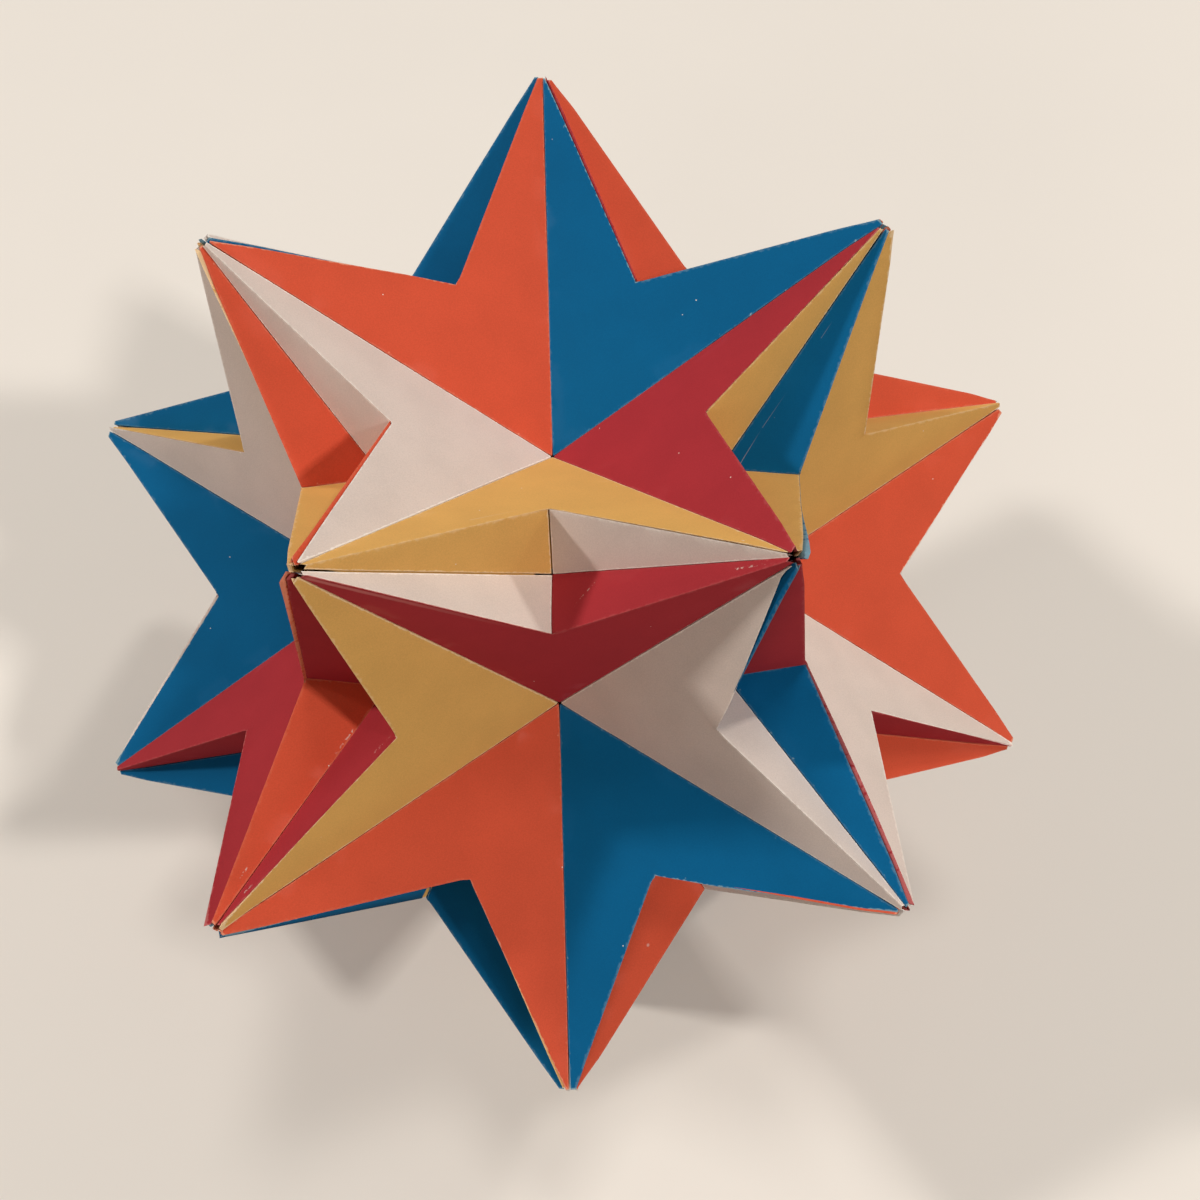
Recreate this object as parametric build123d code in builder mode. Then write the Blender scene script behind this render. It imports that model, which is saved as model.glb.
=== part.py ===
"""Star of folded card: the outer faces of ten crossed tetrahedra, in five colours.

Twenty blunt tips stand on the corners of a regular dodecahedron. Between them lie twelve hollow
five-armed stars, and halfway between each two neighbouring tips a small four-walled pit.
Sixty folded arms and sixty single walls, cut from card and glued by tabs, make the whole shell.
"""

import os
from math import acos, atan2, cos, degrees, radians, sin, sqrt

from build123d import *

# Driving dimensions, in millimetres
tip_spacing = 65.0  # straight distance between neighbouring sharp tips
card_thickness = 0.3
tip_cut = 2.3  # trimmed off every sharp tip, measured along the tip's axis
seam_gap = 0.2  # open line between two glued edges
glue_gap = 0.03  # film of glue between a tab and the card over it
lip_width = 0.4  # folded lip that shows beside the raw edge of a ridge
fold_width = 0.9  # strip behind a valley seam where the tab is folded back
dart_tab_width = 5.0
wall_tab_width = 3.0

# Shares of a seam's length that stay free at each end
tab_end_share = 0.08
lip_end_share = 0.02

# The colours follow each other anticlockwise round the upper star, seen from above
colours = ("white", "yellow", "crimson", "blue", "orange")

# Proportions of the regular dodecahedron that carries the tips
golden = (1 + sqrt(5)) / 2
full_turn = 360
arms_per_tip = 3
walls_per_pit = 2
unit = tip_spacing * golden / 2  # half the side of a cube that stands on eight of the tips
tip_radius = unit * sqrt(3)
face_depth = unit / sqrt(3)  # every card face lies this far from the centre
star_radius = unit * sqrt(1 + golden**2) / golden**2  # from the centre to a star's bottom
tip_step = acos(sqrt(5) / 3)  # angle between neighbouring tips
star_step = atan2(2, golden**2)  # angle between a tip's axis and the next star's axis
star_side = radians(full_turn / arms_per_tip / 2)  # a star lies halfway between two tips
star_tilt = degrees(atan2(1, golden))  # angle between a pit's axis and the next star's axis

# Depths below a face: the back of its card, then the tab that is glued behind it
card_back = card_thickness
tab_front = card_back + glue_gap
tab_back = tab_front + card_thickness


def notch_between(tip, other_tip, star):
    """Inner corner of a dart, between its two tips."""
    middle = (tip + other_tip) / 2
    return middle + (star - middle) / sqrt(5)


def pit_between(tip, other_tip):
    """Bottom of the pit between two neighbouring tips."""
    return (tip + other_tip) / 2 / golden


def trimmed(tip, corner):
    """Point where the tip's cut crosses the edge from the tip to another corner."""
    fall = (tip - corner).dot(tip.normalized())
    return tip + (corner - tip) * (tip_cut / fall)


def inset(corners, insets):
    """Outline with each side moved inwards; side i runs from corner i to the next one."""
    outward = (corners[1] - corners[0]).cross(corners[-1] - corners[0]).normalized()
    moved = []
    for i, corner in enumerate(corners):
        following = corners[(i + 1) % len(corners)]
        into = (corner - corners[i - 1]).normalized()
        onward = (following - corner).normalized()
        turn = into.cross(onward).dot(outward)
        moved.append(corner + onward * (insets[i - 1] / turn) - into * (insets[i] / turn))
    return moved


def dart_middle(tip, other_tip, star):
    """Point of a dart that is equally far from its four sides."""
    notch = notch_between(tip, other_tip, star)
    axis = (notch - star).normalized()
    star_sine = axis.cross((tip - star).normalized()).length
    notch_sine = axis.cross((tip - notch).normalized()).length
    return star + (notch - star) * (notch_sine / (star_sine + notch_sine))


def wall_middle(tip, notch, pit):
    """Point of a wall that is equally far from its three sides."""
    facing_tip = (notch - pit).length
    facing_notch = (pit - tip).length
    facing_pit = (tip - notch).length
    weighted = tip * facing_tip + notch * facing_notch + pit * facing_pit
    return weighted / (facing_tip + facing_notch + facing_pit)


def flap(start, end, middle, width, end_share):
    """Strip along a seam that narrows towards the middle of a face, clear of the face's other strips."""
    first = start + (end - start) * end_share
    last = end + (start - end) * end_share
    reach = (middle - start).cross((end - start).normalized()).length
    return [
        first,
        last,
        last + (middle - last) * (width / reach),
        first + (middle - first) * (width / reach),
    ]


def across(point, start, end):
    """Mirror image of a point in the plane through a seam and the centre."""
    side = start.cross(end).normalized()
    return point - side * (2 * point.dot(side))


def folded_sheet(layers):
    """One piece of card, from flat layers given as an outline, its upper depth and its lower depth.

    Every layer narrows towards the centre, so that two faces meet at their seam on a mitre.
    """
    with BuildPart() as sheet:
        for outline, upper_depth, lower_depth in layers:
            upper = [corner * (1 - upper_depth / face_depth) for corner in outline]
            lower = [corner * (1 - lower_depth / face_depth) for corner in outline]
            ConvexPolyhedron(upper + lower)
    return sheet.part


# Corners of one arm, with its folded tip on Z and its other tip above X
tip = Vector(0, 0, tip_radius)
other_tip = Vector(tip_radius * sin(tip_step), 0, tip_radius * cos(tip_step))
star_reach = star_radius * sin(star_step)
star = Vector(star_reach * cos(star_side), star_reach * sin(star_side), star_radius * cos(star_step))
notch = notch_between(tip, other_tip, star)
pit = pit_between(tip, other_tip)
half_gap = seam_gap / 2

# The arm's dart and wall share the fold from the tip to the notch
dart_star, tip_valley, tip_ridge, dart_notch, other_ridge, other_valley = inset(
    [
        star,
        trimmed(tip, star),
        trimmed(tip, notch),
        notch,
        trimmed(other_tip, notch),
        trimmed(other_tip, star),
    ],
    [half_gap, 0, 0, lip_width + seam_gap, 0, half_gap],
)
dart_half = [dart_star, tip_valley, tip_ridge, dart_notch]
other_half = [dart_star, dart_notch, other_ridge, other_valley]
wall = inset([notch, trimmed(tip, notch), trimmed(tip, pit), pit], [0, 0, half_gap, half_gap])
arm_layers = [(outline, 0, card_back) for outline in (dart_half, other_half, wall)]

# Three valley seams, each with a tab that is folded back under the neighbouring face
middle_of_dart = dart_middle(tip, other_tip, star)
middle_of_wall = wall_middle(tip, notch, pit)
valleys = (
    (star, trimmed(tip, star), middle_of_dart, dart_tab_width),
    (notch, pit, middle_of_wall, wall_tab_width),
    (pit, trimmed(tip, pit), middle_of_wall, wall_tab_width),
)
for start, end, middle, tab_width in valleys:
    fold = flap(start, end, middle, fold_width, tab_end_share)
    tab = flap(start, end, across(middle, start, end), tab_width, tab_end_share)
    arm_layers.append((fold, card_back, tab_back))
    arm_layers.append((tab, tab_front, tab_back))

arm = folded_sheet(arm_layers)

# Corners of one single wall, with its pit on Z and the pit's two tips above X
left_tip = Vector(-unit / golden, 0, unit * golden)
right_tip = Vector(unit / golden, 0, unit * golden)
far_star = Vector(0, unit / golden**2, unit / golden)
far_notch = notch_between(left_tip, right_tip, far_star)
pit_bottom = pit_between(left_tip, right_tip)

# Its ridge seam has a lip that is folded over the edge of the dart, and a tab behind the dart
single_wall = inset(
    [trimmed(right_tip, far_notch), far_notch, pit_bottom, trimmed(right_tip, pit_bottom)],
    [0, half_gap, half_gap, 0],
)
ridge = (trimmed(right_tip, far_notch), far_notch, dart_middle(left_tip, right_tip, far_star))
lip = flap(*ridge, lip_width, lip_end_share)
ridge_tab = flap(*ridge, dart_tab_width, tab_end_share)

lone_wall = folded_sheet(
    [(single_wall, 0, card_back), (lip, 0, tab_back), (ridge_tab, tab_front, tab_back)]
)

# The star stands on the trimmed ridges of its five lowest tips
centre = Vector(0, 0, trimmed(tip, notch).dot(star.normalized()))


def turned(x, y, z, turn):
    """Direction on the white cube of tips, tilted so that a star faces up, then turned about Z."""
    return Vector(x, y, z).rotate(Axis.X, star_tilt).rotate(Axis.Z, turn)


def upright(axis, side):
    """Plane through the centre that faces along an axis, with its X on the side of a direction."""
    return Plane(centre, x_dir=side - axis * (side.dot(axis) / axis.dot(axis)), z_dir=axis)


# Signs of the white tips on their cube, and the axes of the white pits with the side of a tip
white_tips = ((-1, 1, 1), (1, -1, 1), (1, 1, -1), (-1, -1, -1))
white_pits = (
    ((0, 0, 1), (1, 0, 0)),
    ((0, 0, -1), (1, 0, 0)),
    ((1, 0, 0), (0, 1, 0)),
    ((-1, 0, 0), (0, 1, 0)),
    ((0, 1, 0), (0, 0, 1)),
    ((0, -1, 0), (0, 0, 1)),
)

os.makedirs("parts", exist_ok=True)
for step, colour in enumerate(colours):
    turn = step * full_turn / len(colours)

    for number, (x, y, z) in enumerate(white_tips, start=1):
        tip_plane = upright(turned(x, y, z, turn), turned(x / golden, 0, z * golden, turn))
        with BuildPart(tip_plane) as arms:
            with PolarLocations(0, arms_per_tip):
                add(arm)
        arms.part.label = f"{colour}_arms_{number}"
        export_step(arms.part, f"parts/{arms.part.label}.step")

    for number, (axis, side) in enumerate(white_pits, start=1):
        pit_plane = upright(turned(*axis, turn), turned(*side, turn))
        with BuildPart(pit_plane) as walls:
            with PolarLocations(0, walls_per_pit):
                add(lone_wall)
        walls.part.label = f"{colour}_walls_{number}"
        export_step(walls.part, f"parts/{walls.part.label}.step")
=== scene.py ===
"""Dressed model of a star folded from card in five colours.

Sixty folded arms and sixty single walls lie where the frame's nodes lie. Every sheet is cut, scored,
bowed and worn a little differently, as sheets cut and glued by hand are.
"""

import logging
import math
import random
from dataclasses import dataclass, field
from enum import Enum

import bmesh
import bpy
from bmesh.types import BMEdge, BMesh, BMVert
from bpy.types import Material, Node, NodeSocket, NodeTree, Object
from mathutils import Matrix, Vector, geometry, noise


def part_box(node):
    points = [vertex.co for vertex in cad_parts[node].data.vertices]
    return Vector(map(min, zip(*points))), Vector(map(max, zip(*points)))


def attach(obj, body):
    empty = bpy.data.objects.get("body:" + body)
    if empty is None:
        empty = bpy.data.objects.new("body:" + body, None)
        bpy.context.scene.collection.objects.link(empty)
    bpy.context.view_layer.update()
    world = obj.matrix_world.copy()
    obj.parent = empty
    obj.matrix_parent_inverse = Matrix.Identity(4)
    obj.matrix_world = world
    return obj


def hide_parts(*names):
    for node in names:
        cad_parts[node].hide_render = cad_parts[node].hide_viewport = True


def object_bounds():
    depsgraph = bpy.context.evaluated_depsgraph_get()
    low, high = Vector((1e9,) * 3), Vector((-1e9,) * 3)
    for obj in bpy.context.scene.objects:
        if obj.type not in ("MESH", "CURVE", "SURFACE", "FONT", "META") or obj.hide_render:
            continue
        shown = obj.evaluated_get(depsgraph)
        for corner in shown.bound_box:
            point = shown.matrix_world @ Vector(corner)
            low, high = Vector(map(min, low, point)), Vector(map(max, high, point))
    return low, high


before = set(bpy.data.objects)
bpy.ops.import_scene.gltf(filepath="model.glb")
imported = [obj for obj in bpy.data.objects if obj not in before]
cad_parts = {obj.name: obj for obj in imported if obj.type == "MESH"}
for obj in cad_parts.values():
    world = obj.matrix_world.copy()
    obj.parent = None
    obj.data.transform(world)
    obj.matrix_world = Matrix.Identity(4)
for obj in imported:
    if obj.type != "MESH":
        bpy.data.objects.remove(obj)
CAD_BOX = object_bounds()

LOG = logging.getLogger("card_star")
MM = 0.001
GOLDEN = (1 + math.sqrt(5)) / 2
FULL_TURN = 2 * math.pi
SAME_SPOT = 1e-6
SAME_SIDE = 1e-4
SAME_BEND = 1e-3

Segment = tuple[Vector, Vector]
Colour = tuple[float, float, float]


class CardColour(Enum):
    """Colours of card, anticlockwise round the upper star seen from above."""

    WHITE = "white"
    YELLOW = "yellow"
    CRIMSON = "crimson"
    BLUE = "blue"
    ORANGE = "orange"

    @property
    def turn(self) -> float:
        """Angle about Z from the white sheets to the sheets of this colour."""
        return list(CardColour).index(self) * FULL_TURN / len(CardColour)


class Wear(Enum):
    """Names of the measures that every corner of a sheet carries for its finish."""

    RIDGE = "ridge_mm"
    VALLEY = "valley_mm"
    FOLD = "fold_mm"
    TIP = "tip_mm"
    SHEET = "sheet"


def notch_between(tip: Vector, other_tip: Vector, star: Vector) -> Vector:
    """Inner corner of a dart, between its two tips."""
    middle = (tip + other_tip) / 2
    return middle + (star - middle) / math.sqrt(5)


def pit_between(tip: Vector, other_tip: Vector) -> Vector:
    """Bottom of the pit between two neighbouring tips."""
    return (tip + other_tip) / 2 / GOLDEN


def inset(corners: list[Vector], insets: list[float]) -> list[Vector]:
    """Moves the sides of a flat outline inwards.

    Args:
        corners: corners of the outline, anticlockwise seen from outside.
        insets: how far each side moves; side i runs from corner i to the next one.

    Returns:
        The corners of the smaller outline.
    """
    outward = (corners[1] - corners[0]).cross(corners[-1] - corners[0]).normalized()
    moved = []
    for i, corner in enumerate(corners):
        into = (corner - corners[i - 1]).normalized()
        onward = (corners[(i + 1) % len(corners)] - corner).normalized()
        turn = into.cross(onward).dot(outward)
        moved.append(corner + onward * (insets[i - 1] / turn) - into * (insets[i] / turn))
    return moved


def dart_middle(tip: Vector, other_tip: Vector, star: Vector) -> Vector:
    """Point of a dart that is equally far from its four sides.

    Args:
        tip: one sharp tip of the dart.
        other_tip: its other one.
        star: the bottom of its star.

    Returns:
        The point.
    """
    notch = notch_between(tip, other_tip, star)
    axis = (notch - star).normalized()
    star_sine = axis.cross((tip - star).normalized()).length
    notch_sine = axis.cross((tip - notch).normalized()).length
    return star + (notch - star) * (notch_sine / (star_sine + notch_sine))


def wall_middle(tip: Vector, notch: Vector, pit: Vector) -> Vector:
    """Point of a wall that is equally far from its three sides.

    Args:
        tip: the wall's sharp tip.
        notch: its corner at the notch.
        pit: its corner in the pit.

    Returns:
        The point.
    """
    facing_tip = (notch - pit).length
    facing_notch = (pit - tip).length
    facing_pit = (tip - notch).length
    weighted = tip * facing_tip + notch * facing_notch + pit * facing_pit
    return weighted / (facing_tip + facing_notch + facing_pit)


def flap(start: Vector, end: Vector, middle: Vector, width: float, end_share: float) -> list[Vector]:
    """Strip along a seam that narrows towards the middle of a face.

    Args:
        start: first end of the seam.
        end: last end of the seam.
        middle: the point of the face that the strip narrows towards.
        width: how far the strip reaches into the face.
        end_share: share of the seam that stays free at each end.

    Returns:
        The strip's four corners, the two on the seam first.
    """
    first = start.lerp(end, end_share)
    last = end.lerp(start, end_share)
    reach = (middle - start).cross((end - start).normalized()).length
    return [first, last, last.lerp(middle, width / reach), first.lerp(middle, width / reach)]


def across(point: Vector, start: Vector, end: Vector) -> Vector:
    """Mirror image of a point in the plane through a seam and the star's centre."""
    side = start.cross(end).normalized()
    return point - side * (2 * point.dot(side))


def pour(source: BMesh, target: BMesh) -> None:
    """Adds one bmesh to another and frees it.

    Args:
        source: the bmesh that is added.
        target: the bmesh that takes it up.
    """
    mesh = bpy.data.meshes.new("poured")
    source.to_mesh(mesh)
    source.free()
    target.from_mesh(mesh)
    bpy.data.meshes.remove(mesh)


def as_object(source: BMesh, name: str) -> Object:
    """Makes a bmesh an object of the scene, at the origin, and frees it.

    Args:
        source: the bmesh.
        name: name of the object and of its mesh.

    Returns:
        The object.
    """
    mesh = bpy.data.meshes.new(name)
    source.to_mesh(mesh)
    source.free()
    made = bpy.data.objects.new(name, mesh)
    bpy.context.scene.collection.objects.link(made)
    return made


def smooth(share: float) -> float:
    """Soft step from 0 to 1, flat at both ends."""
    held = min(max(share, 0.0), 1.0)
    return held * held * (3 - 2 * held)


@dataclass(frozen=True)
class StarShape:
    """Sizes of the star, and the corners of one arm and of one pit about its centre."""

    unit: float
    card: float = 0.3 * MM
    tip_cut: float = 2.3 * MM
    seam_gap: float = 0.2 * MM
    glue_gap: float = 0.03 * MM
    lip_width: float = 0.4 * MM
    fold_width: float = 0.9 * MM
    dart_tab: float = 5.0 * MM
    wall_tab: float = 3.0 * MM
    tab_end_share: float = 0.08
    lip_end_share: float = 0.02

    @classmethod
    def of_height(cls, height: float) -> "StarShape":
        """Star that stands as high as the frame's box.

        Args:
            height: height of the box.

        Returns:
            The star's sizes.
        """
        sharp = cls(unit=1.0, tip_cut=0.0).standing
        lost = sharp - cls(unit=1.0, tip_cut=1.0).standing
        return cls(unit=(height / 2 + lost * cls.tip_cut) / sharp)

    @property
    def face_depth(self) -> float:
        """Distance of every face from the centre."""
        return self.unit / math.sqrt(3)

    @property
    def tip(self) -> Vector:
        """Sharp tip of an arm, on Z."""
        return Vector((0, 0, self.unit * math.sqrt(3)))

    @property
    def other_tip(self) -> Vector:
        """Sharp tip at the far end of an arm, above X."""
        tip_step = math.acos(math.sqrt(5) / 3)
        return Matrix.Rotation(tip_step, 3, "Y") @ self.tip

    @property
    def star(self) -> Vector:
        """Bottom of the star that an arm belongs to."""
        radius = self.unit * math.sqrt(1 + GOLDEN**2) / GOLDEN**2
        lean = Matrix.Rotation(math.atan2(2, GOLDEN**2), 3, "Y")
        swing = Matrix.Rotation(FULL_TURN / 6, 3, "Z")
        return swing @ lean @ Vector((0, 0, radius))

    @property
    def notch(self) -> Vector:
        """Notch of an arm's dart."""
        return notch_between(self.tip, self.other_tip, self.star)

    @property
    def pit(self) -> Vector:
        """Pit bottom beside an arm."""
        return pit_between(self.tip, self.other_tip)

    @property
    def standing(self) -> float:
        """Height of the centre above the table."""
        return self.trimmed(self.tip, self.notch).dot(self.star.normalized())

    @property
    def centre(self) -> Vector:
        """Centre of the star in the row frame."""
        return Vector((0, 0, self.standing))

    def trimmed(self, tip: Vector, corner: Vector) -> Vector:
        """Point where the tip's cut crosses the edge from the tip to another corner."""
        fall = (tip - corner).dot(tip.normalized())
        return tip.lerp(corner, self.tip_cut / fall)

    def sunk(self, point: Vector, depth: float) -> Vector:
        """Point of a face moved towards the centre until it lies at a depth below the face."""
        return point * (1 - depth / self.face_depth)


@dataclass(frozen=True)
class RawEdge:
    """How a dart's raw edge was cut: how far it stays back from the ridge, is rolled, split or turned."""

    at_tip: float
    at_notch: float
    split: float = 0.0
    split_at: float = 1.0
    split_length: float = 22.0 * MM
    roll: float = 0.06 * MM
    least: float = -0.25 * MM
    turned_over: float = 0.0

    def back(self, share: float) -> float:
        """Distance from the ridge at a share of the way from the notch to the tip."""
        return max(self.at_notch + (self.at_tip - self.at_notch) * share, self.least)


@dataclass(frozen=True)
class HandWork:
    """How far a sheet that is cut and glued by hand strays from its true shape."""

    bow: float = 0.30 * MM
    bow_reach: float = 6.0 * MM
    ripple: float = 0.06 * MM
    ripple_length: float = 16.0 * MM
    ripple_at_edge: float = 0.3
    ripple_inside: float = 0.7
    pattern_spread: float = 100.0
    drift: float = 0.05 * MM
    ragged: float = 0.05 * MM
    ragged_length: float = 2.2 * MM
    fine_rag: float = 0.6
    fine_rag_pace: float = 2.7
    seam_play: float = 0.10 * MM
    seam_length: float = 22.0 * MM
    tuck: float = 0.0
    tab_slack: float = 0.12 * MM
    star_nick: float = 0.22 * MM
    nick_reach: float = 0.9 * MM
    lip_at_tip: tuple[float, float] = (-0.30 * MM, 0.85 * MM)
    lip_at_notch: tuple[float, float] = (-0.05 * MM, 0.55 * MM)
    lip_blend: float = 3.0 * MM
    lip_step: float = 0.18 * MM
    lip_sink: float = 0.22 * MM
    split: float = 0.45 * MM
    split_range: tuple[float, float] = (0.3, 1.0)
    split_share: float = 0.25
    split_reach: float = 2.5 * MM
    roll_reach: float = 0.6 * MM
    lift_share: float = 0.6
    turned_gap: float = 0.12 * MM
    tip_stray: float = 0.45 * MM
    stray_range: tuple[float, float] = (-1.0, 0.6)
    tip_bend: float = 0.35 * MM
    bend_range: tuple[float, float] = (-1.0, 0.5)
    tip_reach: float = 7.0 * MM


@dataclass(frozen=True)
class Panel:
    """One flat face of a sheet."""

    corners: tuple[Vector, ...]
    middle: Vector
    ridges: tuple[Segment, ...]
    valleys: tuple[Segment, ...] = ()
    bowing: float = 1.0

    @property
    def raw_edges(self) -> tuple[Segment, ...]:
        """Every cut edge of the face."""
        return self.ridges + self.valleys

    @property
    def outward(self) -> Vector:
        """Direction that the face looks in."""
        first, second, third = self.corners[:3]
        return (second - first).cross(third - first).normalized()

    def into(self, side: Segment) -> Vector:
        """Direction in the face, square to one of its sides and towards its middle.

        Args:
            side: the two ends of the side.

        Returns:
            The direction.
        """
        start, end = side
        square = self.outward.cross(end - start).normalized()
        return square if square.dot(self.middle - start) > 0 else -square

    def foot(self, point: Vector) -> Vector:
        """Point of the face that lies on the line from the centre through another point."""
        outward = self.outward
        return point * (self.corners[0].dot(outward) / point.dot(outward))


def distance_to(point: Vector, segment: Segment) -> float:
    """Distance from a point to a straight piece of edge.

    Args:
        point: the point.
        segment: the two ends of the edge.

    Returns:
        The distance.
    """
    nearest, share = geometry.intersect_point_line(point, *segment)
    if share <= 0:
        nearest = segment[0]
    elif share >= 1:
        nearest = segment[1]
    return (point - nearest).length


@dataclass
class CardSheet:
    """A cut and scored sheet of card, as a mesh with the star's centre at its origin."""

    shape: StarShape
    rim: float = 0.3 * MM
    row: float = 1.3 * MM
    strip: float = 2.6 * MM
    fold_round: float = 0.4 * MM
    fold_segments: int = 3
    sharp_angle: float = math.radians(40)
    clear_of_edges: float = 9.0
    farthest_told: float = 0.99
    bm: BMesh = field(default_factory=bmesh.new)
    panels: list[Panel] = field(default_factory=list)
    ends: list[Segment] = field(default_factory=list)
    fold: Segment = None

    def rule(self, panel: Panel, point: Vector, along: Vector) -> None:
        """Divides the faces of one panel along a straight line.

        Args:
            panel: the panel that the line is ruled on.
            point: a point of the line.
            along: direction of the line.
        """
        outward = panel.outward
        faces = [f for f in self.bm.faces if abs(f.normal.dot(outward) - 1) < SAME_SIDE]
        edges = {e for f in faces for e in f.edges}
        verts = {v for f in faces for v in f.verts}
        normal = along.cross(outward).normalized()
        bmesh.ops.bisect_plane(
            self.bm, geom=[*faces, *edges, *verts], dist=SAME_SPOT, plane_co=point, plane_no=normal
        )

    def rule_rims(self, panel: Panel) -> None:
        """Rules a narrow rim beside each raw edge of a panel."""
        for start, end in panel.raw_edges:
            self.rule(panel, start + panel.into((start, end)) * self.rim, end - start)

    def rule_grid(self, panel: Panel, along: Vector) -> None:
        """Rules rows across a panel and strips along it.

        Args:
            panel: the panel.
            along: direction in which the rows follow each other.
        """
        side = panel.outward.cross(along).normalized()
        for direction, spacing in ((along.normalized(), self.row), (side, self.strip)):
            reaches = [direction.dot(corner) for corner in panel.corners]
            count = math.floor((max(reaches) - min(reaches)) / spacing)
            spread = (max(reaches) - min(reaches)) / (count + 1)
            for step in range(1, count + 1):
                level = min(reaches) + step * spread
                foot = panel.middle + direction * (level - direction.dot(panel.middle))
                self.rule(panel, foot, panel.outward.cross(direction))

    def round_fold(self) -> None:
        """Rounds the scored fold between the two panels."""
        first, second = (panel.outward for panel in self.panels)
        edges = [e for e in self.bm.edges if self.is_fold(e, first, second)]
        bmesh.ops.bevel(
            self.bm, geom=edges, offset=self.fold_round, offset_type="OFFSET", affect="EDGES",
            segments=self.fold_segments, profile=0.5, material=-1, clamp_overlap=True,
        )

    @staticmethod
    def is_fold(edge: BMEdge, first: Vector, second: Vector) -> bool:
        """Tells whether an edge parts a face of one panel from a face of the other.

        Args:
            edge: the edge.
            first: outward direction of one panel.
            second: that of the other one.

        Returns:
            True for an edge of the fold.
        """
        if len(edge.link_faces) != 2:
            return False
        normals = [face.normal for face in edge.link_faces]
        return abs(normals[0].dot(normals[1]) - first.dot(second)) < SAME_BEND

    def thicken(self, sheet: BMesh) -> None:
        """Gives an open sheet its thickness, mitred towards the star's centre.

        Args:
            sheet: the open sheet.
        """
        made = bmesh.ops.extrude_face_region(sheet, geom=list(sheet.faces))
        for vert in (item for item in made["geom"] if isinstance(item, BMVert)):
            vert.co = self.shape.sunk(vert.co, self.shape.card)
        bmesh.ops.recalc_face_normals(sheet, faces=list(sheet.faces))

    def add_tab(self, outlines: list[list[Vector]]) -> None:
        """Adds a tab that is folded behind the faces.

        Args:
            outlines: the tab's faces as outlines on the outer faces, each starting with the shared seam.
        """
        front = self.shape.card + self.shape.glue_gap
        strip = bmesh.new()
        for outline in outlines:
            strip.faces.new([strip.verts.new(self.shape.sunk(corner, front)) for corner in outline])
        bmesh.ops.remove_doubles(strip, verts=list(strip.verts), dist=SAME_SPOT)
        bmesh.ops.recalc_face_normals(strip, faces=list(strip.faces))
        self.thicken(strip)
        pour(strip, self.bm)

    def measure(self, loose_from: int) -> None:
        """Stores each corner's distance from the raw edges, the fold and the tips, in millimetres.

        Args:
            loose_from: index of the first corner that belongs to a tab.
        """
        for wear in Wear:
            self.bm.verts.layers.float.new(wear.value)
        ridge, valley, fold, tip = (
            self.bm.verts.layers.float[wear.value] for wear in (Wear.RIDGE, Wear.VALLEY, Wear.FOLD, Wear.TIP)
        )
        self.bm.verts.ensure_lookup_table()
        for index, vert in enumerate(self.bm.verts):
            panel = self.panel_at(vert.co, index >= loose_from)
            foot = panel.foot(vert.co)
            vert[tip] = min((foot - end).length for end, _ in self.ends) / MM
            vert[fold] = distance_to(foot, self.fold) / MM
            vert[ridge] = vert[valley] = self.clear_of_edges
            if index < loose_from:
                vert[ridge] = self.nearest(foot, panel.ridges) / MM
                vert[valley] = self.nearest(foot, panel.valleys) / MM

    def nearest(self, point: Vector, edges: tuple[Segment, ...]) -> float:
        """Distance from a point to the nearest of some edges, up to the largest that is told apart."""
        farthest = self.farthest_told * self.clear_of_edges * MM
        return min([distance_to(point, edge) for edge in edges] + [farthest])

    def panel_at(self, point: Vector, loose: bool) -> Panel:
        """Panel that a point belongs to, told by its side of the fold.

        Args:
            point: the point.
            loose: True for a point of a tab; not used here.

        Returns:
            The panel.
        """
        side = self.fold[0].cross(self.fold[1])
        first, second = self.panels
        return first if point.dot(side) * first.middle.dot(side) >= 0 else second

    def finish(self) -> None:
        """Shades the sheet softly and keeps its cut edges crisp."""
        for face in self.bm.faces:
            face.smooth = True
        for edge in self.bm.edges:
            edge.smooth = edge.calc_face_angle(0.0) < self.sharp_angle

    def hand_made(self, work: HandWork, seed: int, raw: RawEdge | None = None) -> BMesh:
        """Copies the sheet with the small faults of hand work.

        Args:
            work: how large the faults are.
            seed: number that chooses this copy's faults.
            raw: the cut of this copy's raw edge, or None where it is left to chance.

        Returns:
            The new sheet, still about the star's centre.
        """
        rng = random.Random(seed)
        copy = self.bm.copy()
        ridge, valley, fold, sheet = (
            copy.verts.layers.float[wear.value] for wear in (Wear.RIDGE, Wear.VALLEY, Wear.FOLD, Wear.SHEET)
        )
        number = rng.random()
        bows = [work.bow * rng.uniform(0.0, 1.0) * panel.bowing for panel in self.panels]
        drift = Vector([work.drift * rng.uniform(-1, 1) for _ in range(3)])
        offset = Vector([rng.uniform(-work.pattern_spread, work.pattern_spread) for _ in range(3)])
        strays = [work.tip_stray * rng.uniform(*work.stray_range) for _ in self.ends]
        bends = [work.tip_bend * rng.uniform(*work.bend_range) for _ in self.ends]
        split = work.split * rng.uniform(*work.split_range) if rng.random() < work.split_share else 0.0
        chance = RawEdge(rng.uniform(*work.lip_at_tip), rng.uniform(*work.lip_at_notch), split)
        cut = raw or chance
        crest = (self.panels[0].outward + self.panels[1].outward).normalized()
        for vert in copy.verts:
            edge = min(vert[ridge], vert[valley])
            loose = edge >= self.clear_of_edges
            panel = self.panel_at(vert.co, loose)
            foot = panel.foot(vert.co)
            inner = smooth(min(edge, vert[fold]) * MM / work.bow_reach)
            lift = bows[self.panels.index(panel)] * inner
            ripple = work.ripple * noise.noise(foot / work.ripple_length + offset)
            lift += ripple * (work.ripple_at_edge + work.ripple_inside * inner)
            if loose:
                lift = -work.tab_slack
            move = drift + panel.outward * lift
            if not loose:
                move = move + self.stray(panel, foot, work, cut)
                if (foot - vert.co).length < self.shape.card / 2:
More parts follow.
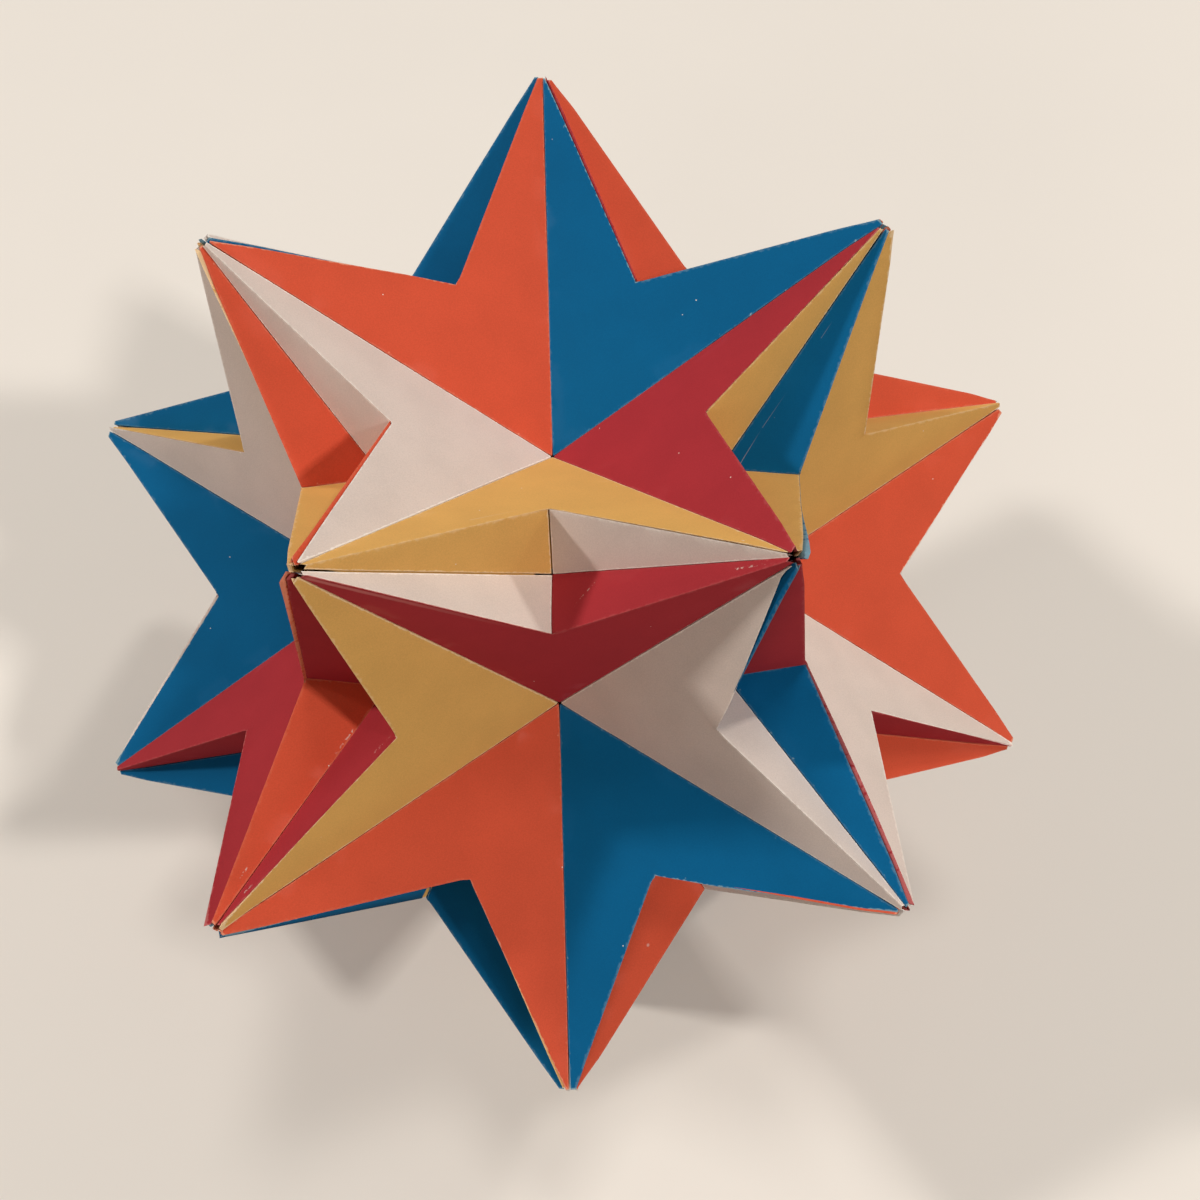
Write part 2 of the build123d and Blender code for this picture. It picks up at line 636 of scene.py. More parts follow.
                    move = move + panel.outward * self.swell(panel, foot, work, cut)
                turned = self.turned_wear(panel, foot, cut)
                if turned is not None:
                    vert[ridge] = turned / MM
            if edge * MM < self.rim / 2:
                spot = foot / work.ragged_length
                rag = work.ragged * noise.noise(spot + offset)
                rag += work.fine_rag * work.ragged * noise.noise(spot * work.fine_rag_pace - offset)
                rag += work.seam_play * noise.noise(foot / work.seam_length - offset) - work.tuck
                move = move + (panel.middle - foot).normalized() * rag
            for (end, inward), stray, bend in zip(self.ends, strays, bends):
                near = smooth(1 - (foot - end).length / work.tip_reach)
                if near > 0:
                    move = move - inward * (stray * near) + crest * (bend * near)
            vert[sheet] = number
            vert.co += move
        return copy

    def stray(self, panel: Panel, foot: Vector, work: HandWork, raw: RawEdge) -> Vector:
        """Further fault of one kind of sheet.

        Args:
            panel: the panel that the point lies on; not used here.
            foot: the point's place on the outer face; not used here.
            work: how large the faults are; not used here.
            raw: the cut of this copy's raw edge; not used here.

        Returns:
            The move of the point.
        """
        return Vector((0, 0, 0))

    def swell(self, panel: Panel, foot: Vector, work: HandWork, raw: RawEdge) -> float:
        """How far the outer layer of the card stands off at a point."""
        return 0.0

    def turned_wear(self, panel: Panel, foot: Vector, raw: RawEdge) -> float | None:
        """Distance from the raw edge at a point where that edge is turned over, or None elsewhere."""
        return None


@dataclass
class FoldedArm(CardSheet):
    """A dart of a star and the pit wall folded down beside it, with three tabs behind their valleys."""

    lip_edge: Segment = None
    most_cut: float = 0.8
    rim_slack: float = 1.1

    def build(self) -> "FoldedArm":
        """Cuts, scores and folds the sheet."""
        shape = self.shape
        tip, other_tip, star, notch, pit = shape.tip, shape.other_tip, shape.star, shape.notch, shape.pit
        half_gap = shape.seam_gap / 2
        dart = inset(
            [
                star,
                shape.trimmed(tip, star),
                shape.trimmed(tip, notch),
                notch,
                shape.trimmed(other_tip, notch),
                shape.trimmed(other_tip, star),
            ],
            [half_gap, 0, 0, shape.lip_width + shape.seam_gap, 0, half_gap],
        )
        wall = inset(
            [notch, shape.trimmed(tip, notch), shape.trimmed(tip, pit), pit], [0, 0, half_gap, half_gap]
        )
        dart_star, tip_valley, tip_ridge, dart_notch, other_ridge, other_valley = dart
        fold_end, _, tip_pit, pit_bottom = wall
        self.fold = (tip_ridge, fold_end)
        self.lip_edge = (dart_notch, other_ridge)
        self.panels = [
            Panel(
                tuple(dart),
                dart_middle(tip, other_tip, star),
                (
                    (tip_valley, tip_ridge),
                    (fold_end, dart_notch),
                    (dart_notch, other_ridge),
                    (other_ridge, other_valley),
                ),
                ((dart_star, tip_valley), (other_valley, dart_star)),
            ),
            Panel(
                tuple(wall),
                wall_middle(tip, notch, pit),
                ((tip_ridge, tip_pit),),
                ((tip_pit, pit_bottom), (pit_bottom, fold_end)),
            ),
        ]
        middle = self.panels[0].middle
        self.ends = [
            (end, (middle - end).normalized())
            for end in ((tip_valley + tip_ridge) / 2, (other_valley + other_ridge) / 2)
        ]
        self.lay_panels([*dart, fold_end, tip_pit, pit_bottom])
        for panel, along in zip(self.panels, (other_tip - tip, pit - tip)):
            self.rule_rims(panel)
            self.rule_grid(panel, along)
        self.round_fold()
        self.thicken(self.bm)
        loose_from = len(self.bm.verts)
        seams = (
            (star, shape.trimmed(tip, star), self.panels[0].middle, shape.dart_tab),
            (notch, pit, self.panels[1].middle, shape.wall_tab),
            (pit, shape.trimmed(tip, pit), self.panels[1].middle, shape.wall_tab),
        )
        for start, end, own_middle, width in seams:
            own = flap(start, end, own_middle, shape.fold_width, shape.tab_end_share)
            under = flap(start, end, across(own_middle, start, end), width, shape.tab_end_share)
            self.add_tab([own, under])
        self.measure(loose_from)
        self.finish()
        return self

    def lay_panels(self, corners: list[Vector]) -> None:
        """Lays the dart, in two halves, and the wall as one open sheet.

        Args:
            corners: the dart's six corners, the end of the fold, then the wall's two lower corners.
        """
        verts = [self.bm.verts.new(corner) for corner in corners]
        star, tip_valley, tip_ridge, notch, other_ridge, other_valley, fold_end, tip_pit, pit = verts
        self.bm.faces.new([star, tip_valley, tip_ridge, fold_end, notch])
        self.bm.faces.new([star, notch, other_ridge, other_valley])
        self.bm.faces.new([fold_end, tip_ridge, tip_pit, pit])
        self.bm.normal_update()

    def panel_at(self, point: Vector, loose: bool) -> Panel:
        """Panel that a point belongs to; the half of the dart beyond its notch is never the wall's.

        Args:
            point: the point.
            loose: True for a point of a tab.

        Returns:
            The panel.
        """
        if not loose and point.dot(self.shape.other_tip - self.shape.tip) > 0:
            return self.panels[0]
        return super().panel_at(point, loose)

    def stray(self, panel: Panel, foot: Vector, work: HandWork, raw: RawEdge) -> Vector:
        """Draws the dart back from the middle of the star, and from the ridge where a lip shows.

        Args:
            panel: the panel that the point lies on.
            foot: the point's place on the outer face.
            work: how large the faults are.
            raw: the cut of this copy's raw edge.

        Returns:
            The move of the point.
        """
        star = self.shape.star
        near = smooth(1 - (foot - star).length / work.nick_reach)
        move = (self.panels[0].middle - star).normalized() * (work.star_nick * near)
        if panel is self.panels[1]:
            return move
        reach = distance_to(foot, self.lip_edge)
        if raw.turned_over and reach < self.rim_slack * self.rim:
            return move + self.turn_over(foot, reach, work, raw)
        room = reach + self.nearest(foot, panel.valleys)
        back = raw.back(self.share_to_tip(foot))
        cut = back - self.shape.lip_width - self.shape.seam_gap
        cut = min(cut, self.most_cut * room) * smooth(1 - reach / work.lip_blend) * (1 - reach / room)
        roll = (raw.roll + work.lift_share * min(back, 0.0)) * smooth(1 - reach / work.roll_reach)
        return move + panel.into(self.lip_edge) * cut - panel.outward * roll

    def turn_over(self, foot: Vector, reach: float, work: HandWork, raw: RawEdge) -> Vector:
        """Turns the rim of the dart's raw edge over the ridge and onto the next wall.

        Args:
            foot: the point's place on the dart, on the raw edge or on the inner side of its rim.
            reach: its distance from the raw edge.
            work: how far the turned edge stands off the wall.
            raw: the cut of this copy's raw edge.

        Returns:
            The move of the point.
        """
        notch, along = self.shape.notch, (self.shape.other_tip - self.shape.notch).normalized()
        crest = notch + along * (foot - notch).dot(along)
        down = self.shape.pit - notch
        down = (down - along * down.dot(along)).normalized()
        wall_outward = down.cross(along)
        if reach > self.rim / 2:
            ease = (self.panels[0].outward + wall_outward).normalized() * work.turned_gap
            return crest + ease - foot
        return crest + down * self.turned_width(foot, raw) + wall_outward * work.turned_gap - foot

    def turned_width(self, foot: Vector, raw: RawEdge) -> float:
        """Width of the turned edge, which narrows towards the tip."""
        return max(raw.turned_over * (1 - self.share_to_tip(foot)), self.rim)

    def turned_wear(self, panel: Panel, foot: Vector, raw: RawEdge) -> float | None:
        """Distance from the raw edge along the crest where that edge is turned over.

        Args:
            panel: the panel that the point lies on.
            foot: the point's place on the outer face.
            raw: the cut of this copy's raw edge.

        Returns:
            The distance, or None where nothing is turned over.
        """
        if panel is self.panels[1] or not raw.turned_over:
            return None
        on_crest = self.rim / 2 < distance_to(foot, self.lip_edge) < self.rim_slack * self.rim
        return self.turned_width(foot, raw) if on_crest else None

    def share_to_tip(self, foot: Vector) -> float:
        """Share of the way from the notch to the tip, along the dart's raw edge.

        Args:
            foot: a point of the dart.

        Returns:
            The share, from 0 to 1.
        """
        notch, tip = self.lip_edge
        along = tip - notch
        return min(max((foot - notch).dot(along) / along.length_squared, 0.0), 1.0)

    def swell(self, panel: Panel, foot: Vector, work: HandWork, raw: RawEdge) -> float:
        """How far the split edge of the dart stands off, most of all at one place along it.

        Args:
            panel: the panel that the point lies on.
            foot: the point's place on the outer face.
            work: how large the faults are.
            raw: the cut of this copy's raw edge.

        Returns:
            The height above the face.
        """
        if panel is self.panels[1] or not raw.split:
            return 0.0
        aside = abs(raw.split_at - self.share_to_tip(foot)) * (self.lip_edge[1] - self.lip_edge[0]).length
        near = smooth(1 - distance_to(foot, self.lip_edge) / work.split_reach)
        return raw.split * near * smooth(1 - aside / raw.split_length)


@dataclass
class SingleWall(CardSheet):
    """A pit wall with a tab folded over the ridge and under the dart, whose edge leaves a lip to see."""

    lip_end_width: float = 0.85
    lip_flat: float = 0.45 * MM
    lip_slope: float = 0.40 * MM
    lip_round: float = 0.40 * MM
    tab_start_share: float = 0.40

    def build(self) -> "SingleWall":
        """Cuts, scores and folds the sheet."""
        shape = self.shape
        left_tip = Vector((-shape.unit / GOLDEN, 0, shape.unit * GOLDEN))
        tip = Vector((shape.unit / GOLDEN, 0, shape.unit * GOLDEN))
        star = Vector((0, shape.unit / GOLDEN**2, shape.unit / GOLDEN))
        notch = notch_between(left_tip, tip, star)
        pit = pit_between(left_tip, tip)
        half_gap = shape.seam_gap / 2
        wall = inset(
            [shape.trimmed(tip, notch), notch, pit, shape.trimmed(tip, pit)], [0, half_gap, half_gap, 0]
        )
        tip_ridge, wall_notch, pit_bottom, tip_pit = wall
        ridge = (tip_ridge, notch, dart_middle(left_tip, tip, star))
        _, tab_notch, tab_end, _ = flap(*ridge, shape.dart_tab, shape.lip_end_share)
        tab_start = tab_end + (tip_ridge - tab_notch) * self.tab_start_share
        lip_end = tip_ridge.lerp(shape.trimmed(tip, star), self.lip_end_width)
        self.fold = (tip_ridge, wall_notch)
        self.panels = [
            Panel(
                tuple(wall),
                wall_middle(tip, notch, pit),
                ((tip_pit, tip_ridge),),
                ((wall_notch, pit_bottom), (pit_bottom, tip_pit)),
            ),
            Panel(
                (tab_notch, tip_ridge, lip_end, tab_start, tab_end),
                (tip_ridge + tab_notch + tab_end + tab_start) / 4,
                ((tip_ridge, lip_end),),
                bowing=0.0,
            ),
        ]
        end = (tip_ridge + tip_pit) / 2
        self.ends = [(end, (self.panels[0].middle - end).normalized())]
        self.lay_panels([*wall, tab_notch, tab_end, tab_start, lip_end])
        self.rule_rims(self.panels[0])
        self.rule_grid(self.panels[0], pit - tip)
        for reach in (self.lip_flat, self.lip_flat + self.lip_slope):
            lip_foot = tip_ridge + self.panels[1].into(self.fold) * reach
            self.rule(self.panels[1], lip_foot, notch - tip_ridge)
        self.rule_grid(self.panels[1], notch - tip)
        self.fold_round = self.lip_round
        self.round_fold()
        self.thicken(self.bm)
        self.measure(len(self.bm.verts))
        self.finish()
        return self

    def lay_panels(self, corners: list[Vector]) -> None:
        """Lays the wall and its tab as one open sheet.

        Args:
            corners: the wall's four corners from its ridge, then the tab's four from the notch.
        """
        verts = [self.bm.verts.new(corner) for corner in corners]
        tip_ridge, notch, pit, tip_pit, tab_notch, tab_end, tab_start, lip_end = verts
        self.bm.faces.new([tip_ridge, tab_notch, notch, pit, tip_pit])
        self.bm.faces.new([tab_notch, tip_ridge, lip_end, tab_start, tab_end])
        self.bm.normal_update()

    def stray(self, panel: Panel, foot: Vector, work: HandWork, raw: RawEdge) -> Vector:
        """Sinks the tab under the dart, over the narrow lip that stays in sight.

        Args:
            panel: the panel that the point lies on.
            foot: the point's place on the outer face.
            work: how large the faults are.
            raw: the cut of this copy's raw edge; not used here.

        Returns:
            The move of the point.
        """
        if panel is self.panels[0]:
            return Vector((0, 0, 0))
        reach = distance_to(foot, self.fold)
        depth = work.lip_step * smooth(reach / self.lip_flat)
        depth += work.lip_sink * smooth((reach - self.lip_flat) / self.lip_slope)
        return -panel.outward * depth


class NodeBench:
    """A node tree being made, with short calls for its nodes."""

    def __init__(self, tree: NodeTree) -> None:
        """Starts on an emptied node tree."""
        self.tree = tree
        self.tree.nodes.clear()

    def node(self, kind: str, **settings: object) -> Node:
        """Adds a node and sets its properties.

        Args:
            kind: Blender's name for this kind of node.
            settings: the properties, by name.

        Returns:
            The node.
        """
        made = self.tree.nodes.new(kind)
        for name, value in settings.items():
            setattr(made, name, value)
        return made

    def feed(self, socket: NodeSocket, value: NodeSocket | float | Colour) -> None:
        """Links a socket to another one, or sets it to a plain value.

        Args:
            socket: the socket that is fed.
            value: an output, a number or a colour.
        """
        if isinstance(value, NodeSocket):
            self.tree.links.new(value, socket)
        elif isinstance(value, tuple):
            socket.default_value = (*value, 1.0)
        else:
            socket.default_value = value

    def sums(self, kind: str, first: NodeSocket | float, second: NodeSocket | float) -> NodeSocket:
        """Sum, difference or other arithmetic of two values.

        Args:
            kind: name of the operation.
            first: its first operand.
            second: its second operand.

        Returns:
            The result.
        """
        made = self.node("ShaderNodeMath", operation=kind)
        self.feed(made.inputs[0], first)
        self.feed(made.inputs[1], second)
        return made.outputs[0]

    def times(self, first: NodeSocket | float, second: NodeSocket | float) -> NodeSocket:
        """Product of two values."""
        return self.sums("MULTIPLY", first, second)

    def blend(
        self, share: NodeSocket, first: NodeSocket | Colour, second: NodeSocket | Colour
    ) -> NodeSocket:
        """Colour between two others.

        Args:
            share: 0 for the first colour, 1 for the second.
            first: a colour.
            second: a colour.

        Returns:
            The colour.
        """
        made = self.node("ShaderNodeMix", data_type="RGBA")
        self.feed(made.inputs["Factor"], share)
        for name, value in (("A", first), ("B", second)):
            self.feed(next(i for i in made.inputs if i.name == name and i.type == "RGBA"), value)
        return next(o for o in made.outputs if o.type == "RGBA")

    def shown(self) -> NodeSocket:
        """1 for a ray that shows the surroundings, and 0 for one that only lights the star."""
        path = self.node("ShaderNodeLightPath")
        direct = self.sums("MAXIMUM", path.outputs["Is Camera Ray"], path.outputs["Is Glossy Ray"])
        return self.sums("MAXIMUM", direct, path.outputs["Is Transmission Ray"])


class FinishBench(NodeBench):
    """A material being made, with short calls for the shader nodes that card needs."""

    speck_core: float = 0.6
    streak_core: float = 0.3

    def __init__(self, name: str) -> None:
        """Starts an empty material with a shader and an output."""
        self.material: Material = bpy.data.materials.new(name)
        self.material.use_nodes = True
        super().__init__(self.material.node_tree)
        self.shader = self.node("ShaderNodeBsdfPrincipled")
        self.output = self.node("ShaderNodeOutputMaterial")
        self.feed(self.output.inputs["Surface"], self.shader.outputs["BSDF"])
        self.spot = self.node("ShaderNodeTexCoord").outputs["Object"]
        self.place = self.spot

    def measure(self, wear: Wear) -> NodeSocket:
        """Value that the corners of the mesh carry."""
        return self.node("ShaderNodeAttribute", attribute_name=wear.value).outputs["Fac"]

    def part_sheets(self, spread: float) -> None:
        """Shifts the patterns of every sheet by its own number, so that no two sheets match.

        Args:
            spread: the largest shift, in metres.
        """
        shift = self.node("ShaderNodeVectorMath", operation="MULTIPLY_ADD")
        self.feed(shift.inputs[0], self.measure(Wear.SHEET))
        shift.inputs[1].default_value = (spread, -spread, spread)
        self.feed(shift.inputs[2], self.place)
        self.place = shift.outputs["Vector"]

    def specks(self, size: float, radius: float) -> NodeSocket:
        """Scattered round specks.

        Args:
            size: usual distance between specks, in metres.
            radius: radius of the largest specks, in metres.

        Returns:
            1 on a speck and 0 elsewhere.
        """
        made = self.node("ShaderNodeTexVoronoi")
        self.feed(made.inputs["Vector"], self.place)
        made.inputs["Scale"].default_value = 1 / size
        return self.band(made.outputs["Distance"], radius / size, self.speck_core * radius / size)

    def vectors(self, kind: str, first: NodeSocket, second: Vector) -> Node:
        """Difference, product or other arithmetic of two vectors.

        Args:
            kind: name of the operation.
            first: its first operand.
            second: its second operand.

        Returns:
            The node, with the result.
        """
        made = self.node("ShaderNodeVectorMath", operation=kind)
        self.feed(made.inputs[0], first)
        made.inputs[1].default_value = second
        return made

    def streak(self, start: Vector, end: Vector, width: float) -> NodeSocket:
        """Soft straight streak.

        Args:
            start: first end of the streak, in the row frame.
            end: its last end.
            width: its half width, in metres.

        Returns:
            1 in the middle of the streak and 0 away from it.
        """
        along = (end - start).normalized()
        away = self.vectors("SUBTRACT", self.spot, start).outputs["Vector"]
        done = self.vectors("DOT_PRODUCT", away, along).outputs["Value"]
        side = self.vectors("CROSS_PRODUCT", away, along).outputs["Vector"]
        off = self.vectors("LENGTH", side, Vector()).outputs["Value"]
        begun = self.band(done, -width, width)
        ended = self.band(done, (end - start).length + width, width)
        return self.times(self.times(begun, ended), self.band(off, width, self.streak_core * width))

    def grain(self, size: float, detail: float) -> NodeSocket:
        """Soft noise from 0 to 1.

        Args:
            size: length of one wave, in metres.
            detail: how many finer layers are added.

        Returns:
            The noise value.
        """
        made = self.node("ShaderNodeTexNoise", noise_dimensions="3D")
        self.feed(made.inputs["Vector"], self.place)
        made.inputs["Scale"].default_value = 1 / size
        made.inputs["Detail"].default_value = detail
        return made.outputs["Fac"]

    def band(self, value: NodeSocket, zero_at: float, one_at: float, top: float = 1.0) -> NodeSocket:
        """Soft ramp of a value, from 0 up to a top.

        Args:
            value: the value that is ramped.
            zero_at: where the ramp is 0.
            one_at: where the ramp reaches its top.
            top: the highest result.

        Returns:
            The ramp's value.
        """
        made = self.node("ShaderNodeMapRange", interpolation_type="SMOOTHSTEP")
        low, high = min(zero_at, one_at), max(zero_at, one_at)
        rising = one_at > zero_at
        self.feed(made.inputs["Value"], value)
        made.inputs["From Min"].default_value = low
        made.inputs["From Max"].default_value = high
        made.inputs["To Min"].default_value = 0.0 if rising else top
        made.inputs["To Max"].default_value = top if rising else 0.0
        return made.outputs["Result"]


@dataclass(frozen=True)
class LineMark:
    """Pale flecks or a scratch along a line, or a painted highlight along a rolled rim, in millimetres from
    the star's centre.
    """

    start: tuple[float, float, float]
    end: tuple[float, float, float]
    width: float = 0.3
    strength: float = 0.8
    broken: bool = True
    # Paints a highlight along a rolled rim in the raw-edge colour instead of a speck.
    rim_highlight: bool = False
    crumb: float = 0.4
    crumb_band: tuple[float, float] = (0.52, 0.60)

    def dress(self, bench: FinishBench, centre: Vector) -> NodeSocket:
        """Share of the mark's colour at every place of the card.

        Args:
            bench: the material.
            centre: the star's centre.

        Returns:
            The share, from 0 to 1.
        """
        start, end = (centre + Vector(spot) * MM for spot in (self.start, self.end))
        streak = bench.streak(start, end, self.width * MM)
        if self.broken:
            streak = bench.times(streak, bench.band(bench.grain(self.crumb * MM, 1.0), *self.crumb_band))
        return bench.times(streak, self.strength)


@dataclass(frozen=True)
class CardFinish:
    """Matt card, dyed through, with fine fibres, specks, traces of glue, and pale edges and folds that are
    partly worn card and partly painted highlights.

    Distances from an edge, a fold or a tip are in millimetres, as the sheets carry them.
    """

    colour: Colour
    # Colour of the cut edges, also used for the painted highlights on folds, on valley edges and on a crimson
    # rim.
    raw: Colour
    # Paler valley edges: partly cut card, partly a painted highlight.
    valley_fray_and_highlight: float = 0.15
    # Paler folds: partly rubbed card, partly a painted highlight.
    fold_rub_and_highlight: float = 0.14
    raw_width: float = 0.13
    ridge_fray: float = 0.75
    roughness: float = 0.80
    glue_roughness: float = 0.45
    specular: float = 0.10
    sheet_shift: float = 3.0
    fibre: float = 0.22 * MM
    cloud: float = 8.0 * MM
    fray: float = 0.8 * MM
    grain_detail: float = 2.0
    fibre_share: float = 0.6
    cloud_share: float = 0.4
    tone_band: tuple[float, float] = (0.30, 0.70)
    shades: tuple[float, float] = (0.93, 1.06)
    fray_depth: float = 0.6
    tip_wear: tuple[float, float, float] = (7.0, 0.5, 0.10)
    valley_pale_start: float = 0.08
    valley_pale_spread: float = 0.07
    chip_band: tuple[float, float, float] = (0.70, 0.76, 0.8)
    chip_reach: tuple[float, float] = (0.6, 0.2)
    fold_rub_and_highlight_reach: float = 0.4
    fold_rub_and_highlight_fray: float = 2.0
    speck: Colour = (0.82, 0.76, 0.70)
    speck_spacing: float = 5.0 * MM
    speck_radius: float = 0.13 * MM
    glue_band: tuple[float, float] = (0.55, 0.64)
    glue_reach: tuple[float, float] = (3.0, 0.8)
    relief: float = 0.02 * MM
    relief_strength: float = 0.4
    marks_and_highlights: tuple[LineMark, ...] = ()

    def dress(self, name: str, centre: Vector) -> Material:
        """Makes the finish.

        Args:
            name: name of the material.
            centre: the star's centre, which the marks and highlights are placed from.

        Returns:
            The material.
        """
        bench = FinishBench(name)
        bench.part_sheets(self.sheet_shift)
        fibre, cloud, fray = (
            bench.grain(size, self.grain_detail) for size in (self.fibre, self.cloud, self.fray)
        )
        colour = self.dye(bench, fibre, cloud)
        colour = self.wear(bench, colour, fray)
        colour = bench.blend(bench.specks(self.speck_spacing, self.speck_radius), colour, self.speck)
        for line_mark in self.marks_and_highlights:
            # A rim highlight is painted in the raw-edge colour, other marks in the speck colour.
            mark = self.raw if line_mark.rim_highlight else self.speck
            colour = bench.blend(line_mark.dress(bench, centre), colour, mark)
        bench.feed(bench.shader.inputs["Base Color"], colour)
        self.surface(bench, fibre, cloud)
        return bench.material

    def dye(self, bench: FinishBench, fibre: NodeSocket, cloud: NodeSocket) -> NodeSocket:
        """Colour of the card, a little uneven.

        Args:
            bench: the material.
            fibre: the fine noise of the fibres.
            cloud: the wide noise of the dye.

        Returns:
            The colour.
        """
        tone = bench.sums(
            "ADD", bench.times(fibre, self.fibre_share), bench.times(cloud, self.cloud_share)
        )
        dark, light = (tuple(part * shade for part in self.colour) for shade in self.shades)
        return bench.blend(bench.band(tone, *self.tone_band), dark, light)

    def wear(self, bench: FinishBench, colour: NodeSocket, fray: NodeSocket) -> NodeSocket:
        """Pale raw edges, torn and chipped, and paler folds; the paler valley edges and folds are partly
        painted highlights.

        Args:
            bench: the material.
            colour: the colour of the card.
            fray: the noise that makes the pale lines uneven.

        Returns:
            The colour with its pale edges, chips and painted fold highlights.
        """
        loose = bench.times(bench.sums("SUBTRACT", fray, 0.5), self.fray_depth)
        ridge = bench.sums("SUBTRACT", bench.measure(Wear.RIDGE), loose)
        ridge = bench.sums("SUBTRACT", ridge, bench.band(bench.measure(Wear.TIP), *self.tip_wear))
        colour = bench.blend(bench.band(ridge, self.raw_width, 0.0, self.ridge_fray), colour, self.raw)
        # Valley edges are painted paler: partly the paler cut card, partly a painted highlight on edges that
        # stand proud of the next sheet.
        valley = bench.measure(Wear.VALLEY)
        valley_pale_end = self.raw_width + self.valley_pale_spread
        valley_pale = bench.sums("SUBTRACT", valley, loose)
        valley_pale = bench.band(valley_pale, valley_pale_end, self.valley_pale_start, self.valley_fray_and_highlight)
        colour = bench.blend(valley_pale, colour, self.raw)
        edge = bench.sums("MINIMUM", valley, bench.measure(Wear.RIDGE))
        chips = bench.times(bench.band(fray, *self.chip_band), bench.band(edge, *self.chip_reach))
        colour = bench.blend(chips, colour, self.raw)
        # Folds are painted paler: partly rubbed card, partly a painted highlight where light catches the
        # rounded fold.
        fold = bench.sums("SUBTRACT", bench.measure(Wear.FOLD), bench.times(loose, self.fold_rub_and_highlight_fray))
        return bench.blend(bench.band(fold, self.fold_rub_and_highlight_reach, 0.0, self.fold_rub_and_highlight), colour, self.raw)

    def surface(self, bench: FinishBench, fibre: NodeSocket, cloud: NodeSocket) -> None:
        """Matt surface with the relief of the fibres and smoother traces of glue along the valleys.

        Args:
            bench: the material.
            fibre: the fine noise of the fibres.
            cloud: the wide noise that the glue follows.
        """
        valley = bench.measure(Wear.VALLEY)
        glue = bench.times(bench.band(cloud, *self.glue_band), bench.band(valley, *self.glue_reach))
        roughness = bench.node("ShaderNodeMapRange")
        bench.feed(roughness.inputs["Value"], glue)
        bench.feed(roughness.inputs["To Min"], self.roughness)
        bench.feed(roughness.inputs["To Max"], self.glue_roughness)
        bump = bench.node("ShaderNodeBump")
        bench.feed(bump.inputs["Strength"], self.relief_strength)
        bench.feed(bump.inputs["Distance"], self.relief)
        bench.feed(bump.inputs["Height"], fibre)
        bench.feed(bench.shader.inputs["Roughness"], roughness.outputs["Result"])
        bench.feed(bench.shader.inputs["Normal"], bump.outputs["Normal"])
        bench.feed(bench.shader.inputs["Specular IOR Level"], self.specular)


CRIMSON_MARKS_AND_HIGHLIGHT = (
    LineMark((6.4, -33.0, 50.9), (2.4, -37.1, 49.0), 0.2),
    LineMark((24.5, -42.0, 66.0), (29.1, -43.6, 69.7), 0.25, 0.6),
    LineMark((-27.1, -48.8, 30.0), (-24.6, -46.7, 31.4), 0.25, 0.6),
    LineMark((-46.9, -66.2, 19.7), (-45.4, -65.0, 20.5), 0.25, 0.6),
    # Painted highlight along the rolled rim of a crimson dart.
    LineMark((-30.4, -44.25, 69.85), (-1.45, -40.14, 48.2), 0.6, 1.0, broken=False, rim_highlight=True),
)
YELLOW_SCUFFS = (
    LineMark((25.5, -38.9, 67.8), (25.7, -39.0, 67.9), 0.22, broken=False),
    LineMark((-10.8, -28.6, 60.1), (-2.7, -24.3, 56.8), 0.15, 0.25, broken=False),
)
BLUE_SCUFFS = (
    LineMark((29.4, -8.7, 46.1), (32.8, -4.9, 50.0), 0.09, 0.30, broken=False),
    LineMark((32.8, -4.9, 50.0), (36.8, -1.0, 54.2), 0.07, 0.20, broken=False),
    LineMark((41.7, 4.3, 59.7), (43.5, 6.1, 61.6), 0.08, 0.25, broken=False),
)
ORANGE_SCUFFS = (
    LineMark((13.2, -66.1, -9.4), (13.9, -66.2, -7.9), 0.35, 0.45, broken=False),
    LineMark((-31.4, -42.7, 25.9), (-35.2, -47.7, 24.5), 0.2, 0.6),
    LineMark((-46.7, -62.6, 20.5), (-47.9, -64.2, 20.0), 0.2, 0.6),
)

# White and yellow paint their valley edges and folds strongly paler, partly as painted highlights.
FINISHES: dict[CardColour, CardFinish] = {
    CardColour.WHITE: CardFinish((0.72, 0.635, 0.59), (0.93, 0.88, 0.83), 0.85, 0.5, 0.22),
    CardColour.YELLOW: CardFinish(
        (0.72, 0.42, 0.125), (0.90, 0.71, 0.46), 0.65, 0.35, 0.18, marks_and_highlights=YELLOW_SCUFFS
    ),
    CardColour.CRIMSON: CardFinish(
        (0.40, 0.032, 0.043), (0.58, 0.17, 0.17), fold_rub_and_highlight=0.22, marks_and_highlights=CRIMSON_MARKS_AND_HIGHLIGHT
    ),
    CardColour.BLUE: CardFinish((0.001, 0.118, 0.295), (0.25, 0.42, 0.50), fold_rub_and_highlight=0.28, marks_and_highlights=BLUE_SCUFFS),
    CardColour.ORANGE: CardFinish((0.665, 0.095, 0.046), (0.80, 0.34, 0.22), 0.25, marks_and_highlights=ORANGE_SCUFFS),
}

TUCKS: dict[CardColour, float] = {
    CardColour.WHITE: -0.06 * MM,
    CardColour.YELLOW: 0.0,
    CardColour.CRIMSON: 0.09 * MM,
    CardColour.BLUE: 0.08 * MM,
    CardColour.ORANGE: 0.06 * MM,
}

